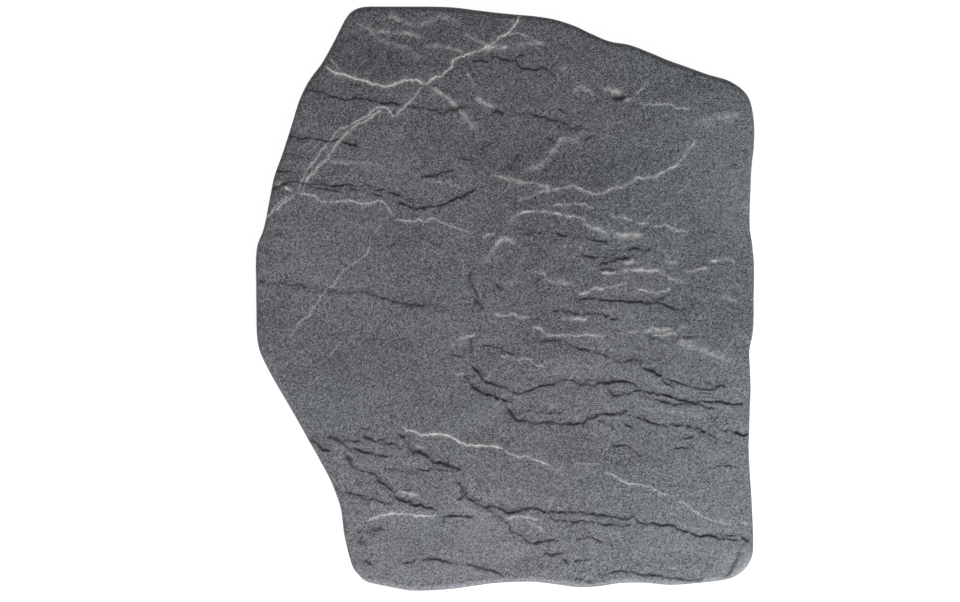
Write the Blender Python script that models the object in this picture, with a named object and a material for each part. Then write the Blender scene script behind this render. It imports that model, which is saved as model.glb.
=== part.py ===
"""Riven slate slab with a hand-dressed wavy outline, lying flat.

Metres, +Z up. The slab rests on Z = 0 with its outline centred on the Z axis.
Its long side runs along Y and its riven upper face looks along +Z.
"""
import bmesh
import bpy
import numpy as np

MM = 0.001

# Driving dimensions, in millimetres
SLAB_LENGTH = 450.0
SLAB_WIDTH = 384.0
THICKNESS = 25.0
UPPER_ARRIS_RADIUS = 4.0
LOWER_ARRIS_RADIUS = 3.0
RELIEF_FADE = 30.0

# How finely the solid is cut
POINTS_AROUND = 200
UPPER_ARRIS_STEPS = 4
LOWER_ARRIS_STEPS = 3
WALL_STEPS = 2
FACE_RINGS = 9

# The dressed outline, clockwise from the far left corner (X, Y)
OUTLINE = [
    (-123.7, 214.6), (-118, 221.4), (-109, 224.7), (-91, 225), (-73, 225),
    (-56, 225), (-39.6, 224.3), (-23.4, 222.3), (-7.7, 220.4), (7.6, 218.9),
    (23, 217.5), (38, 215), (52.5, 210.4), (66.3, 204), (80, 198.3),
    (95.4, 195.5), (110, 190.1), (124, 184.2), (139.6, 178.6), (155.7, 172.8),
    (173.4, 167.2), (186.5, 156.3), (191.2, 139), (191.6, 120), (189.7, 101),
    (188.9, 84), (188.3, 68.5), (188.4, 54), (190.3, 40.5), (191.5, 27),
    (191.6, 13), (191.3, 0), (191.3, -13), (190.6, -26.5), (188, -40),
    (188.4, -54), (188.9, -69), (188.4, -84), (187.9, -100), (187.5, -117),
    (188.5, -137), (189.9, -159), (190.9, -184), (190.3, -197), (185.9, -206.3),
    (178.3, -213), (168, -216.6), (148, -219), (127, -220.5), (106.6, -218.8),
    (88.4, -219.1), (72, -221.5), (55.3, -222.1), (38.7, -220), (23, -218.2),
    (7.6, -218.2), (-7.6, -219), (-23.2, -221), (-39.3, -223.3), (-56, -224.6),
    (-73, -224.8), (-89.5, -221.9), (-106.3, -218.1), (-112.8, -213), (-118.3, -205),
    (-123.9, -183.5), (-126.8, -162.2), (-132, -146.5), (-138.1, -133.4), (-151.2, -109.9),
    (-164, -87.2), (-177.3, -64.5), (-183.7, -52.7), (-189.4, -40.2), (-191.6, -27),
    (-192, -7), (-192.2, 13.4), (-192.4, 27), (-191.2, 40.7), (-186.5, 53.5),
    (-183.6, 66.8), (-181, 80.6), (-178, 94.7), (-173.1, 108.2), (-168.4, 122.3),
    (-163.7, 137.3), (-158.7, 153.2), (-151.3, 168), (-141.6, 181.2), (-132.8, 196.8),
]

# Broad waves left on the face where the rock split: height, wavelengths, phase
FACE_WAVES = [
    (0.45, 260.0, 340.0, 0.4),
    (0.30, -170.0, 210.0, 1.9),
    (0.20, 120.0, -95.0, 3.1),
]
FACE_TILT = 0.25

STONE_COLOUR = (0.138, 0.142, 0.152, 1.0)
STONE_ROUGHNESS = 0.72


def clear_scene():
    """Start from an empty file."""
    for item in list(bpy.data.objects):
        bpy.data.objects.remove(item, do_unlink=True)


def closed_spline(points, per_span):
    """Smooth closed curve that passes through every point."""
    here = np.array(points, float)
    before = np.roll(here, 1, axis=0)
    after = np.roll(here, -1, axis=0)
    beyond = np.roll(here, -2, axis=0)
    t = (np.arange(per_span) / per_span)[None, :, None]
    a, b, c, d = (p[:, None, :] for p in (before, here, after, beyond))
    linear = (c - a) * t
    square = (2 * a - 5 * b + 4 * c - d) * t ** 2
    cube = (3 * b - a - 3 * c + d) * t ** 3
    return (0.5 * (2 * b + linear + square + cube)).reshape(-1, 2)


def even_outline(count):
    """The outline as evenly spaced points, sized and centred."""
    curve = closed_spline(OUTLINE, 24)
    low = curve.min(axis=0)
    high = curve.max(axis=0)
    wanted = np.array([SLAB_WIDTH, SLAB_LENGTH])
    curve = (curve - (low + high) / 2) * wanted / (high - low)
    loop = np.vstack([curve, curve[:1]])
    steps = np.linalg.norm(np.diff(loop, axis=0), axis=1)
    along = np.concatenate([[0.0], np.cumsum(steps)])
    at = np.linspace(0.0, along[-1], count, endpoint=False)
    x = np.interp(at, along, loop[:, 0])
    y = np.interp(at, along, loop[:, 1])
    return np.column_stack([x, y])


def outward(points):
    """Unit normals that point out of a clockwise loop."""
    tangent = np.roll(points, -1, axis=0) - np.roll(points, 1, axis=0)
    normal = np.column_stack([-tangent[:, 1], tangent[:, 0]])
    return normal / np.linalg.norm(normal, axis=1)[:, None]


def face_height(x, y):
    """Height of the split face above the nominal thickness."""
    height = FACE_TILT * y / SLAB_LENGTH
    for size, wave_x, wave_y, phase in FACE_WAVES:
        turn = 2 * np.pi * (x / wave_x + y / wave_y) + phase
        height = height + size * np.sin(turn)
    return height


def side_rings(points):
    """Rings from the underside's edge up to the face's edge, as inset and height."""
    rings = []
    for step in range(LOWER_ARRIS_STEPS + 1):
        turn = 0.5 * np.pi * step / LOWER_ARRIS_STEPS
        inset = LOWER_ARRIS_RADIUS * (1 - np.sin(turn))
        rings.append((inset, LOWER_ARRIS_RADIUS * (1 - np.cos(turn))))
    top_of_wall = THICKNESS - UPPER_ARRIS_RADIUS
    for step in range(1, WALL_STEPS):
        share = step / WALL_STEPS
        wall = LOWER_ARRIS_RADIUS + share * (top_of_wall - LOWER_ARRIS_RADIUS)
        rings.append((0.0, wall))
    for step in range(UPPER_ARRIS_STEPS + 1):
        turn = 0.5 * np.pi * step / UPPER_ARRIS_STEPS
        inset = UPPER_ARRIS_RADIUS * (1 - np.cos(turn))
        rings.append((inset, top_of_wall + UPPER_ARRIS_RADIUS * np.sin(turn)))
    normal = outward(points)
    return [(points - inset * normal, height) for inset, height in rings]


def face_rings(rim):
    """Rings from the face's edge in towards its middle, with the split face's waves."""
    rings = []
    for step in range(1, FACE_RINGS + 1):
        share = 1 - step / (FACE_RINGS + 1)
        ring = rim * share
        gap = np.linalg.norm(rim - ring, axis=1)
        fade = np.minimum(1.0, gap / RELIEF_FADE)
        height = THICKNESS + fade * face_height(ring[:, 0], ring[:, 1])
        rings.append(np.column_stack([ring, height]))
    return rings


def slab_rings():
    """All rings of the slab's skin, from the underside to the middle of the face."""
    rings = []
    flat = []
    for flat, height in side_rings(even_outline(POINTS_AROUND)):
        rings.append(np.column_stack([flat, np.full(len(flat), height)]))
    return rings + face_rings(flat)


def stone_material():
    """Dull dark grey slate."""
    material = bpy.data.materials.new("slate")
    material.use_nodes = True
    shader = material.node_tree.nodes["Principled BSDF"]
    shader.inputs["Base Color"].default_value = STONE_COLOUR
    shader.inputs["Roughness"].default_value = STONE_ROUGHNESS
    shader.inputs["Metallic"].default_value = 0.0
    return material


def stone_slab():
    """The slab: one closed skin with a flat underside."""
    mesh_work = bmesh.new()
    loops = []
    for ring in slab_rings():
        loops.append([mesh_work.verts.new(tuple(point * MM)) for point in ring])
    for lower, upper in zip(loops, loops[1:]):
        for i in range(POINTS_AROUND):
            j = (i + 1) % POINTS_AROUND
            mesh_work.faces.new((lower[j], lower[i], upper[i], upper[j]))
    centre_height = THICKNESS + face_height(0.0, 0.0)
    centre = mesh_work.verts.new((0.0, 0.0, centre_height * MM))
    inner = loops[-1]
    for i in range(POINTS_AROUND):
        mesh_work.faces.new((inner[(i + 1) % POINTS_AROUND], inner[i], centre))
    for face in mesh_work.faces:
        face.smooth = True
    mesh_work.faces.new(loops[0])
    bmesh.ops.recalc_face_normals(mesh_work, faces=mesh_work.faces[:])
    mesh = bpy.data.meshes.new("stone_slab")
    mesh_work.to_mesh(mesh)
    mesh_work.free()
    mesh.materials.append(stone_material())
    slab = bpy.data.objects.new("stone_slab", mesh)
    bpy.context.scene.collection.objects.link(slab)
    return slab


clear_scene()
stone_slab()
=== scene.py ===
"""Riven slate slab: the split face, its dressed edge and its underside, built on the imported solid.

All shapes are worked out in millimetres and put into the meshes in metres.
X runs to the right and Y to the far side when the split face is seen from above, and Z is up.
"""

import bpy
import numpy as np
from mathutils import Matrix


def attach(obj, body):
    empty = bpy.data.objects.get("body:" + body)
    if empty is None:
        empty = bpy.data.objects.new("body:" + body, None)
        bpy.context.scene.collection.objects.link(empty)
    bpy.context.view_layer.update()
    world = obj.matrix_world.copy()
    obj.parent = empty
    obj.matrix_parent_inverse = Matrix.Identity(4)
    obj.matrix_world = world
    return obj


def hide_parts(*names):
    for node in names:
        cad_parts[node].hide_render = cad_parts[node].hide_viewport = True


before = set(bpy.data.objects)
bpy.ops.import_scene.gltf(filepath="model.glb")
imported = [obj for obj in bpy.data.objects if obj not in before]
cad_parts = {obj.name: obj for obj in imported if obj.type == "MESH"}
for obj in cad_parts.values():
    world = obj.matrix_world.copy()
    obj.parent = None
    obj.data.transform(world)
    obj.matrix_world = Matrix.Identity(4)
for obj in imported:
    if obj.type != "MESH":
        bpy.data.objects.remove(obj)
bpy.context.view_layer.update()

MM = 0.001

# The slab, in millimetres, as its solid has it
SLAB_LENGTH = 450.0
SLAB_WIDTH = 384.0
THICKNESS = 25.0
UPPER_ARRIS_RADIUS = 4.0
LOWER_ARRIS_RADIUS = 3.0

# How finely each surface is cut
FACE_COLUMNS = 480
FACE_ROWS = 800
FACE_BANDS = 4
RIM_WIDTH = 6.0
RIM_STEPS = 3
ARRIS_STEPS = 8
WALL_STEPS = 28
LOWER_ARRIS_STEPS = 6
UNDERSIDE_STEP = 2
SCRATCH_COUNT = 130

# Into how many lengths each closed band's flat map is cut
ARRIS_FOLDS = 16
WALL_FOLDS = 8

# The studio, in metres
FLOOR_HALF = 6.0
KEY_PLACE = (.35, -1.15, .85)
VIEW_WIDTH = .738912
VIEW_MIDDLE = (-.0193, -.0018)
FACE_LEVEL = .022

# The dressed outline as x, y, x, y ... in millimetres, clockwise from the far left corner
OUTLINE = [
    -123.7, 214.6, -118, 221.4, -109, 224.7, -91, 225, -73, 225, -56, 225, -39.6, 224.3,
    -23.4, 222.3, -7.7, 220.4, 7.6, 218.9, 23, 217.5, 38, 215, 52.5, 210.4, 66.3, 204, 80, 198.3,
    95.4, 195.5, 110, 190.1, 124, 184.2, 139.6, 178.6, 155.7, 172.8, 173.4, 167.2, 186.5, 156.3,
    191.2, 139, 191.6, 120, 189.7, 101, 188.9, 84, 188.3, 68.5, 188.4, 54, 190.3, 40.5, 191.5, 27,
    191.6, 13, 191.3, 0, 191.3, -13, 190.6, -26.5, 188, -40, 188.4, -54, 188.9, -69, 188.4, -84,
    187.9, -100, 187.5, -117, 188.5, -137, 189.9, -159, 190.9, -184, 190.3, -197, 185.9, -206.3,
    178.3, -213, 168, -216.6, 148, -219, 127, -220.5, 106.6, -218.8, 88.4, -219.1, 72, -221.5,
    55.3, -222.1, 38.7, -220, 23, -218.2, 7.6, -218.2, -7.6, -219, -23.2, -221, -39.3, -223.3,
    -56, -224.6, -73, -224.8, -89.5, -221.9, -106.3, -218.1, -112.8, -213, -118.3, -205,
    -123.9, -183.5, -126.8, -162.2, -132, -146.5, -138.1, -133.4, -151.2, -109.9, -164, -87.2,
    -177.3, -64.5, -183.7, -52.7, -189.4, -40.2, -191.6, -27, -192, -7, -192.2, 13.4, -192.4, 27,
    -191.2, 40.7, -186.5, 53.5, -183.6, 66.8, -181, 80.6, -178, 94.7, -173.1, 108.2, -168.4, 122.3,
    -163.7, 137.3, -158.7, 153.2, -151.3, 168, -141.6, 181.2, -132.8, 196.8,
]

# Where the far, right, near and left sides of the outline meet
CORNERS = [(-117, 221.5), (184.5, 159), (186, -207), (-112, -214)]

# Clefts, where a thin layer ends, darkened with painted shade and some dirt. The face drops on the
# left of each line.
# Each has its strength, the width of its drop in millimetres, and its course as x, y, x, y ...
CLEFTS = [
    # upper left
    (.50, .9, [-154, 161, -147, 160, -140, 159, -136, 157, -131, 155.5, -126, 154, -120, 153.5,
     -112, 154.5, -106.5, 152.5, -98, 151.5, -90, 150, -80, 150]),
    (.55, 1., [-75, 148.5, -66, 147, -58, 145.5, -52, 143.3, -47, 143, -41, 145, -37, 147,
     -32, 147]),
    (.62, .9, [-168, 124, -163, 125, -158, 123, -150, 123.5, -143, 122.5, -137, 121, -128, 122.5]),
    (.68, .9, [-126, 121, -119, 118.6, -111, 117]),
    (.50, .9, [-177, 98, -164, 97.5]),
    (.45, 1., [-180, 83, -175, 86.5, -170, 89, -164, 91, -158, 89.5, -153, 88, -148, 85.5,
     -143, 84.5, -137, 84.5, -127, 82]),
    (.50, .9, [-151, 88.5, -140, 88, -133, 87, -120, 88.3, -113, 87, -102, 86.5]),
    (.60, .8, [-119, 84.5, -112, 84]),
    (.62, .8, [-103, 84.5, -92, 84]),
    (.60, .9, [-104, 82, -97, 80, -93, 79]),
    # middle left
    (.58, .9, [-91, 82.5, -84, 80, -78.5, 78, -72, 76.5]),
    (.80, 1.1, [-83, 74, -77, 72, -71, 69.5, -66, 69, -62, 70.5, -58, 71.3, -50, 71, -45, 73,
     -41, 76, -36, 78, -31, 79, -27, 82, -22, 84]),
    (.35, .9, [-63, 94, -56, 94.5, -52, 95.5, -48, 97.5, -39, 99.5]),
    (.20, 1.6, [-190, 13, -180, 12.5, -170, 11.5, -163, 10, -154, 9.5, -147, 8, -138, 5.6, -127, 5,
     -120, 4, -112, 5, -105, 4, -98, 2, -88, -1, -75, -4.6, -60, -5.5, -49, -6]),
    # far middle
    (.62, 1., [-26, 182.5, -20, 183.5, -13, 182.5]),
    (.50, 1., [-12, 187, -7, 186.5, -3, 184.5, 5, 184, 9, 182, 11, 178.5, 16, 176.5, 22, 176,
     28, 177, 33, 176, 38, 171]),
    (.35, .9, [7, 185, 15, 187.5]),
    (.70, 1.5, [-10, 142.5, -6, 144, -1, 142.5]),
    (.34, .9, [3, 142, 17, 143, 23, 141.5, 28.5, 140.5, 34, 138, 42, 135.5, 49, 134]),
    (.52, 1., [41, 147, 47, 141.5]),
    (.20, 1., [42.5, 136.5, 48, 133.5]),
    (.20, 1., [46, 130.5, 60, 131]),
    (.50, 1., [31, 124.5, 38, 120.5]),
    (.30, 1., [61, 121, 69, 127]),
    (.35, 1., [-19, 115, -12, 118.5, -9, 122]),
    (.35, 1., [-25, 102, -17, 102.5]),
    (.30, 1., [-37, 108, -29, 107]),
    (.25, 2.5, [1, 99, 6, 104, 11, 112]),
    (.60, 2., [83, 154, 90, 154.5, 97, 155.5]),
    # centre
    (.45, 1.1, [-21, .5, -23, 5, -25.5, 9.5, -27.5, 15, -28, 20]),
    (.85, 1.1, [-17, -8, -21, -4.5, -24, 0]),
    (.55, 1., [-7, 10.5, 0, 7]),
    (.30, .9, [12, 49, 20, 50, 29, 50]),
    (.40, 1., [39, 50, 48, 48.5, 55.5, 46.5, 62, 47, 68, 45, 79, 43]),
    (.45, 1., [58, 34.5, 66, 32, 72, 32, 79, 31.5, 88, 30.5, 95, 31.5]),
    (.58, 1., [72.5, 26, 78, 27.5, 84, 29, 90, 30.5, 96, 32]),
    (.55, 1., [94, 38, 100, 39, 104, 38, 106, 36, 112, 38.5]),
    (.35, 1.8, [73, 22.5, 80, 22, 89, 22.5]),
    (.55, 1.2, [56, -1, 62, .5, 69, 0, 75, -1, 84, -2, 93, -2.5, 103, -2.5, 112, -3.5, 117, -3,
     121, -5, 126, -6.5, 130, -8.8, 139, -8]),
    (.35, .9, [142, -4, 151, -3]),
    (.40, .9, [117, -1.5, 124, 2]),
    (.45, 1., [36, -10, 45, -10, 51, -10.5, 55, -13]),
    (.25, 1., [59, -12.5, 66, -12, 71, -11.5, 75, -11.4, 80, -14.5]),
    (.35, 1., [80, -15.5, 87, -16]),
    (.20, .9, [85, -24, 95, -27]),
    (.12, 1.8, [109, -29, 118, -32, 124, -33, 130, -33, 135, -30]),
    (.45, 1.6, [136, -30, 146, -29.5]),
    (.25, 1.2, [-43, -43.5, -30, -46]),
    (.30, 1.2, [-25, -48, -27, -44, -26, -38, -27, -30]),
    (.40, .9, [-18, -36.5, -10, -37, -6, -38, -2, -40.5, 3, -42.5, 8, -43]),
    # far right
    (.40, 1.4, [172, 101, 178, 104]),
    # right of centre
    (.30, .9, [27, -32.5, 38, -32.5, 44, -35]),
    (.40, 1.1, [49, -35, 57, -38, 63, -40, 68, -41, 75, -43, 81, -45.5, 85.5, -48, 90, -49,
     95, -47.5, 101.5, -47, 106, -50]),
    (.90, 1.3, [105, -52.5, 111, -55.5, 116, -58, 120, -60]),
    (.35, 1.1, [119, -61.5, 124, -62.5, 130, -64, 136, -66, 142, -67.5, 150, -69, 158, -70.5,
     163, -68, 170, -67.5]),
    (.45, 1., [119, -62, 124, -66.5, 131, -69.5]),
    (.10, .9, [148, -72.5, 158, -73.5]),
    (.60, 1.1, [-26.5, -52, -22, -55.7, -19, -60, -17, -62, -13, -65]),
    (.38, 1.1, [-14, -64.5, -8, -66, 0, -69, 6, -72, 11, -73.4, 17, -71.5, 24, -69, 30, -66.5,
     38, -65.5, 42, -63, 48, -62.5, 53, -62.6, 57.5, -65.7, 63, -66.5, 69, -67.6]),
    (.85, 1.2, [68, -68, 72, -65, 77, -65.5, 82, -63.5, 90, -64, 95, -64, 101, -67]),
    (.50, 1., [78, -68, 81, -73, 84, -75, 90, -74, 96, -73, 101, -71]),
    (.85, 1.2, [99, -71, 105, -70.5, 110, -72, 117, -73.5, 123, -74.3, 128, -76, 134, -78,
     140, -79.3, 146, -80.5, 153, -79.5, 160, -79.5, 167, -80, 173, -81.6, 182, -81]),
    (.50, 1., [107, -75.5, 112, -78, 119, -78.5, 125.5, -81, 130, -82, 138, -81, 145, -81.5,
     154, -82.7, 161, -85]),
    (.50, 1., [-31, -60, -27, -64]),
    (.95, 1.4, [-26, -66.5, -20, -71, -14.7, -73, -9, -74.5, -4, -76.6, 1, -78]),
    (.60, 1.1, [-6, -76, -2, -77, 2, -79.5]),
    (.90, 1.4, [2, -85.5, 5.7, -89.6, 8.2, -93.6, 14, -94.5, 19.8, -95.6, 25, -96.5]),
    (.42, 1.2, [24, -96, 30, -95, 36, -95.5, 44, -96.5, 53, -97, 60, -96.7, 64, -92.3, 69, -91,
     72, -89.3, 78, -89, 85, -89.5, 90, -88, 94, -86]),
    (.22, .9, [9, -90, 13, -87.5, 19, -86.5, 28, -87.5, 34, -88.5, 44, -87]),
    (.60, .9, [71, -93.5, 78, -97, 82, -98, 85, -102]),
    (.60, 1.3, [92, -96.5, 96, -99.3, 101, -101.5]),
    (.45, 1., [100, -91.5, 107, -93.5, 112, -96.5, 118, -97, 123, -98.5, 130, -97.5, 137, -97.5,
     143, -99.3, 149, -101, 154, -103.5]),
    (.30, 1., [156, -104, 164, -108.5]),
    (.60, 1., [165, -101, 171, -102]),
    (.85, 1., [176, -103, 182, -105, 188, -104.5]),
    (.35, .9, [82, -113.5, 93, -113, 97, -116, 101, -119, 104, -122]),
    (.42, .9, [129, -114.5, 141, -116]),
    (.45, .9, [136, -107.5, 146, -107]),
    (.38, .9, [161, -128.5, 179, -129]),
    (.45, .9, [159, -96, 163, -91]),
    # lower left
    (.72, 1.1, [-154, -107, -147, -110.5, -143, -113.5, -140, -116, -134, -117]),
    (.75, 1.3, [-137, -106.5, -130, -108, -126, -111, -123, -113, -120, -116, -113, -117,
     -108, -119, -103, -119, -99, -121, -90, -121.5]),
    (.85, 1., [-125, -109, -118, -109.5, -113, -111]),
    (.75, 1.4, [-110, -106, -103, -107.5, -98.5, -110.5]),
    (.85, 1., [-98, -109, -91, -108]),
    (.65, 1., [-93, -111, -84, -113, -79, -117.5]),
    (.50, .9, [-110, -99.5, -104, -100]),
    (.95, 1.2, [-82, -103, -78, -107, -75, -111, -73, -115, -71, -118.5]),
    (1., 1.7, [-72, -118.5, -67, -118.6, -61.5, -120.6, -57.3, -123.5, -54.8, -126.6, -50, -126,
     -45, -127.7, -40, -130.4, -34.5, -133]),
    (1., 1.3, [-37, -141, -34, -147, -32, -150.4, -27.8, -153.4, -24, -156.6, -19, -159.4,
     -15, -161.5]),
    (.58, 1.3, [-17, -161, -8, -160.5, -2.3, -162.3, 2.8, -165.4, 10, -164, 16, -162.2, 22, -162,
     30, -164, 38, -164.5, 46, -165, 55, -165, 66, -165, 72, -166.5, 80, -167.5, 88, -169,
     96, -169.5]),
    (.50, 1.2, [95, -168, 99.5, -168, 103, -172, 107, -174, 113, -173, 120, -175, 127, -174,
     132, -177, 137, -179.3, 142, -179.5, 146, -182, 150, -183.6, 157, -182.5, 163, -184.5,
     169, -185, 178, -186]),
    (.45, 1., [181, -184, 187, -187]),
    (.40, 1., [169, -183, 177, -182]),
    (.45, 1., [33, -167.5, 38, -170.5, 45, -171, 54, -172.2, 62, -171.5, 70, -172.5, 76, -174,
     83, -174, 90, -176, 97, -175]),
    (.95, 1.2, [-37, -155.5, -30, -151]),
    (.22, 1.3, [-17, -160.5, -11.8, -164, -8.6, -166.6, -3.4, -168.8, 0, -171.4]),
    (.52, 1.3, [0, -171.4, 2.8, -175.3, 4, -179.7, 9, -181.5, 14, -183.4, 15.6, -187, 19, -188.5,
     24, -188.7, 29, -187, 34, -187, 39, -186.5]),
    (.55, 1.1, [-116, -131, -110, -133.5, -104, -134.5, -99, -135.8, -97, -140.6, -93, -143.6,
     -89, -145.5, -85.5, -148.5]),
    (.30, 1., [-71, -131, -62, -132, -52, -131.5, -44, -132.5]),
    (.35, 1.8, [-122, -121, -119, -126, -115, -131]),
    (.52, 1., [-89, -132, -83, -132, -79, -133.5, -71, -134.5]),
    (.42, 1.1, [-131, -145.5, -127, -149.5, -122, -150, -112, -152, -108, -154, -101, -154.5,
     -98, -156, -93, -157.5, -85, -158.5]),
    (.60, 1.4, [-85, -152, -80, -155.8, -74, -157, -70, -159, -65, -159, -60, -160.5, -56, -161.3,
     -52, -164]),
    (.35, 1., [-79, -147, -71, -147.5]),
    (.62, 1., [-50, -168.6, -42, -168.2, -34, -168.5, -25, -169]),
    (.40, 2.4, [-113, -186, -107, -189]),
    (.45, 2.6, [-109, -202.5, -102, -205.5]),
    (.30, 1.2, [-104, -178, -92, -178.5]),
    (.40, 1.4, [-80, -203, -72, -203.5, -68, -201, -58, -201, -52, -200.5, -49, -202, -44, -204.4,
     -37, -205]),
    (.45, 1.3, [-29, -205, -24, -206.5, -19, -207, -14, -208.5, -9, -209, -4.7, -212, 0, -215]),
    (.45, 1.1, [30, -196, 36, -197.5, 44, -195]),
    (.60, 1.1, [44, -200.5, 49, -204]),
    (.35, 1.1, [53, -203, 63, -200.5]),
    (.28, 1.1, [54, -185, 60, -184.5, 67, -184.5, 75, -188.5]),
    (.26, 1.1, [72, -213.6, 78, -213, 82, -211.5, 86, -210.5, 92, -211, 99, -210.5, 102, -212.5,
     107, -213.5, 112, -213, 120, -214, 126, -215, 133, -215.5, 140, -217, 151, -217]),
    (.40, 1.1, [53.5, -215, 60, -217, 67, -218.5]),
    (.12, 1.8, [169, -214, 173.6, -210, 176, -204.4, 180, -197, 182.5, -189]),
]

# Pale mineral veins: strength, width in millimetres, and course
VEINS = [
    # the long one from the far side to the left side
    (.80, .75, [13.5, 219, 9.5, 214, 7.5, 211, 5, 207, 1, 203.5, -5, 201, -7, 198.5, -11, 195.5,
     -17, 192, -24, 190, -30, 188, -36, 185.5, -40.5, 182.5, -41, 179, -45, 175.5, -50, 171.5,
     -55, 169, -60, 166, -63, 164]),
    (1., 1.1, [-20, 191, -15, 193.3, -8, 197]),
    (.45, 1.1, [-54, 169.5, -63, 164]),
    (.85, 1.3, [-63, 164.5, -57, 167.8, -51, 170.8]),
    (.62, .7, [-62, 164.5, -66, 161, -69, 156, -72, 152.5, -76, 149.5, -80, 145.5, -82.5, 142,
     -85.5, 140.5, -89.7, 145, -92.7, 147.3, -97.4, 147.7, -101.2, 145.6, -104.2, 142.2,
     -108.5, 139.6, -112.8, 137.4, -117, 135, -119.6, 132.7]),
    (.52, .65, [-117, 135, -119.6, 132.7, -123.9, 131.9, -127.8, 129.7, -130.8, 126.7,
     -135.5, 120.8, -140.2, 115.6, -144.5, 110, -147, 105.3, -151, 100.6, -154, 96, -156.4, 91.6,
     -157.6, 88, -160, 81]),
    (.50, 1., [-92, 145.6, -96.5, 144.3, -99, 142.2, -102.5, 140, -106.8, 137.4, -112, 134.5,
     -117, 131.5, -121.3, 128.5]),
    (.42, 1.5, [-117, 131.5, -121.3, 128.5, -124.8, 124.2, -128.2, 120.8, -130.8, 116.5,
     -133, 112.2, -136, 108.3, -140.2, 105.3, -144, 101, -148, 96, -152.2, 91.6, -155.6, 87.4]),
    (.60, .8, [-159, 82, -164, 78, -171, 72.5, -178, 67, -186, 60]),
    (.45, .7, [-161, 81, -172, 75, -182, 66.5]),
    (.85, .6, [-171, 88, -163, 82]),
    # upper left
    (.28, 1.2, [-137, 187, -130, 179.5, -125, 172.5]),
    (.90, 1.1, [-139, 178.5, -133, 175.5, -127, 173, -120, 171, -114, 169.5, -108, 168,
     -103, 165.5, -97, 165, -94, 163, -87, 164, -82, 166.5, -77, 168.5, -69, 169, -65.5, 167,
     -61, 164]),
    (.45, .9, [-161, 81.5, -154, 80.5, -147, 79.5, -144, 76, -140, 74, -133, 73.5, -127, 75.5,
     -120, 75.3, -114, 74.5, -107.5, 73.5, -102, 73, -99, 75, -94, 75, -91, 71, -88.5, 67,
     -84, 62]),
    (.40, .9, [-87, 59.5, -80, 60.3, -70, 59.8, -62, 60.3, -57, 61.6, -51, 59.8, -45, 56.4,
     -38, 54, -33, 53, -26, 51]),
    # left of centre
    (.40, .6, [-103, 43, -105.5, 35.5, -110.5, 31.6, -114.6, 28.8, -119, 25, -124.6, 20.5,
     -129, 14, -133, 9, -138, 5, -143, 0, -148, -8.5, -150.5, -12, -156, -17, -161, -23,
     -165, -28.5, -168, -32]),
    # lower middle to the near right corner
    (.82, .9, [-79, -97.5, -75.7, -101.8, -68, -102.6, -65, -104.9, -58, -104.8, -50, -104.6,
     -44, -105.2, -38.8, -107.6, -34, -111, -30, -113.4, -20, -113.3, -10, -114, -1, -115.4]),
    (.58, .8, [-2, -115.2, 2.7, -119.6, 8, -121.5, 14, -121.5, 20, -123.8, 26.8, -126.2,
     35, -128.5]),
    (.24, .9, [33, -128, 38, -132, 46, -132]),
    (.30, .9, [50, -127, 60, -127, 76, -129]),
    (.50, .75, [75, -133.5, 83, -136, 89, -140, 96, -143.3, 102, -143, 108, -145, 112, -145.5,
     117, -149.7, 126, -152.5]),
    (.44, .75, [131, -154.5, 136, -157, 143, -162.4, 150, -167, 158, -170, 167, -172.7,
     175, -175]),
    (.80, .7, [180, -172, 188, -174]),
    # lower left
    (.72, .8, [-107, -172, -102, -169.3, -97, -167.3, -90, -165.8, -80, -166.2, -70, -166.8,
     -65, -167.4, -58, -168, -51, -167.6]),
    (.20, .6, [42, -149, 37, -156, 35, -164]),
    (.18, .6, [39, -149, 34, -157, 32, -163]),
    (.25, .6, [85, -100, 80, -110, 75, -120]),
]
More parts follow.
